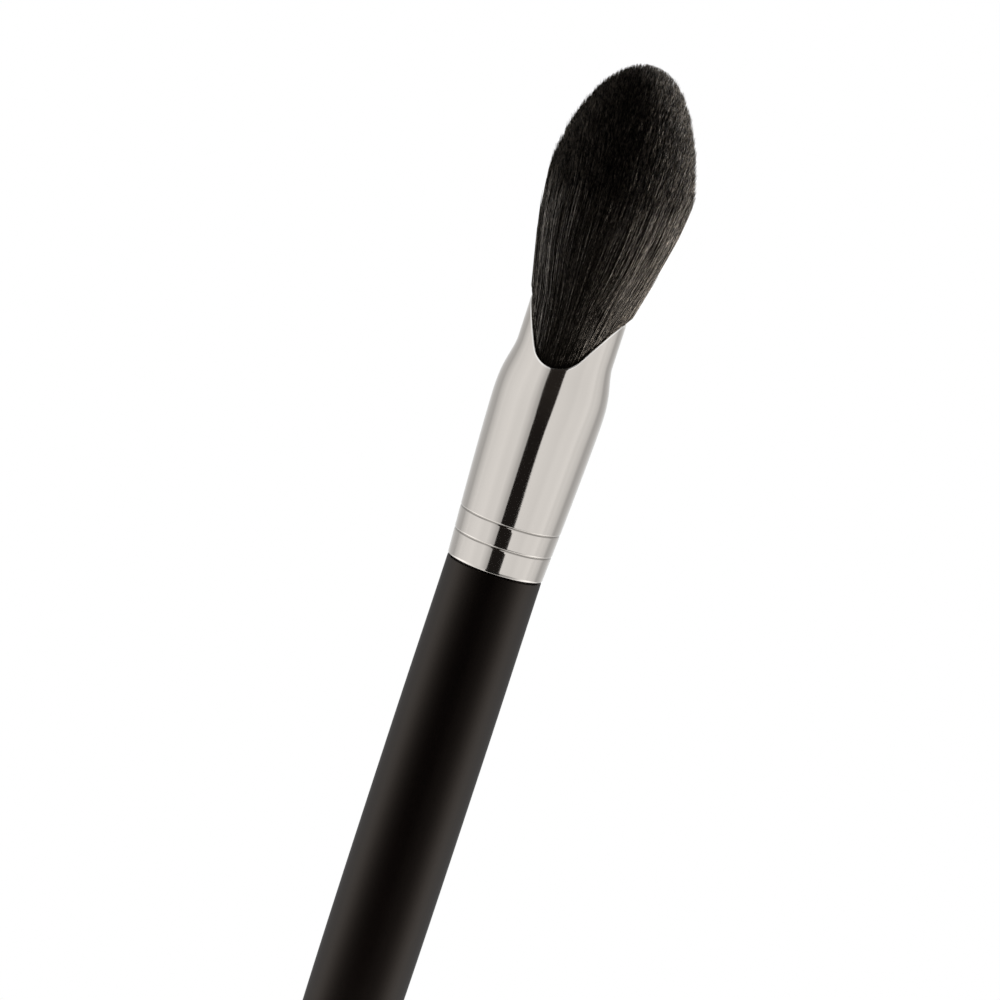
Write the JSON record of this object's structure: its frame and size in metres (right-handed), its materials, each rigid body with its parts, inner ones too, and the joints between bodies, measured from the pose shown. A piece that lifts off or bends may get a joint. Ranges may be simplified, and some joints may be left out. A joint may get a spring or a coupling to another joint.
{
  "type": "powder brush",
  "caption": "Long-handled cosmetic brush: flame-shaped tuft of soft hair in a polished ferrule with a scalloped mouth, on a turned black handle, for spreading face powder.",
  "frame": {"origin": "centre of the small flat face at the handle's end", "axes": "+Z along the brush's axis from the handle's end to the tip of the hair; the ferrule's two scallops face -Y and +Y, its two tongues lie at -X and +X"},
  "size_m": [0.0236, 0.0206, 0.2053],
  "materials": {
    "lacquered_wood": "satin",
    "polished_nickel": "polished",
    "black_hair": "satin",
    "waxed_thread": "matte",
    "amber_resin": "gloss",
    "white_cement": "matte"
  },
  "bodies": {
    "root": {"handle": "lacquered_wood", "ferrule": "polished_nickel", "bristles": "black_hair", "binding_thread": "waxed_thread", "root_resin": "amber_resin", "tenon_cement": "white_cement"}
  },
  "joints": []
}
